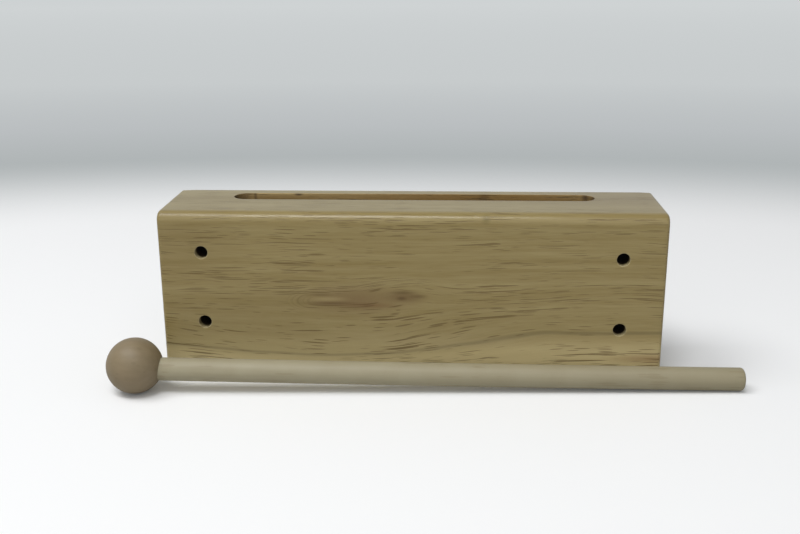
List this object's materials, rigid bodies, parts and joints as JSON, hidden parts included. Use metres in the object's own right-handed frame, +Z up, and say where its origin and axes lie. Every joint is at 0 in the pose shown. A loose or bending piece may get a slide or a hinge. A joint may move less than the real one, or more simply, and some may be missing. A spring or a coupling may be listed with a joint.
{
  "type": "slotted wood block with beater",
  "caption": "Slotted hardwood percussion block with a routed blind slot, drilled ends and a ball-headed wooden beater.",
  "frame": {"origin": "centre of the block's base", "axes": "+Z up, +X along the block and the slot with the beater's grip end towards +X, broad front face with the beater before it towards -Y"},
  "size_m": [0.2517, 0.0694, 0.07],
  "materials": {
    "block_wood": "satin lacquer over fine pore streaks",
    "head_wood": "sanded, turned, almost matt",
    "stick_wood": "bare dowel, matt"
  },
  "bodies": {
    "block": {"block": "block_wood"},
    "beater": {"beater_head": "head_wood", "beater_stick": "stick_wood"}
  },
  "joints": [
    {"name": "beater_lift", "type": "slide", "parent": "block", "child": "beater", "axis": [0, 0, 1], "range_m": [0, 0.12]}
  ]
}
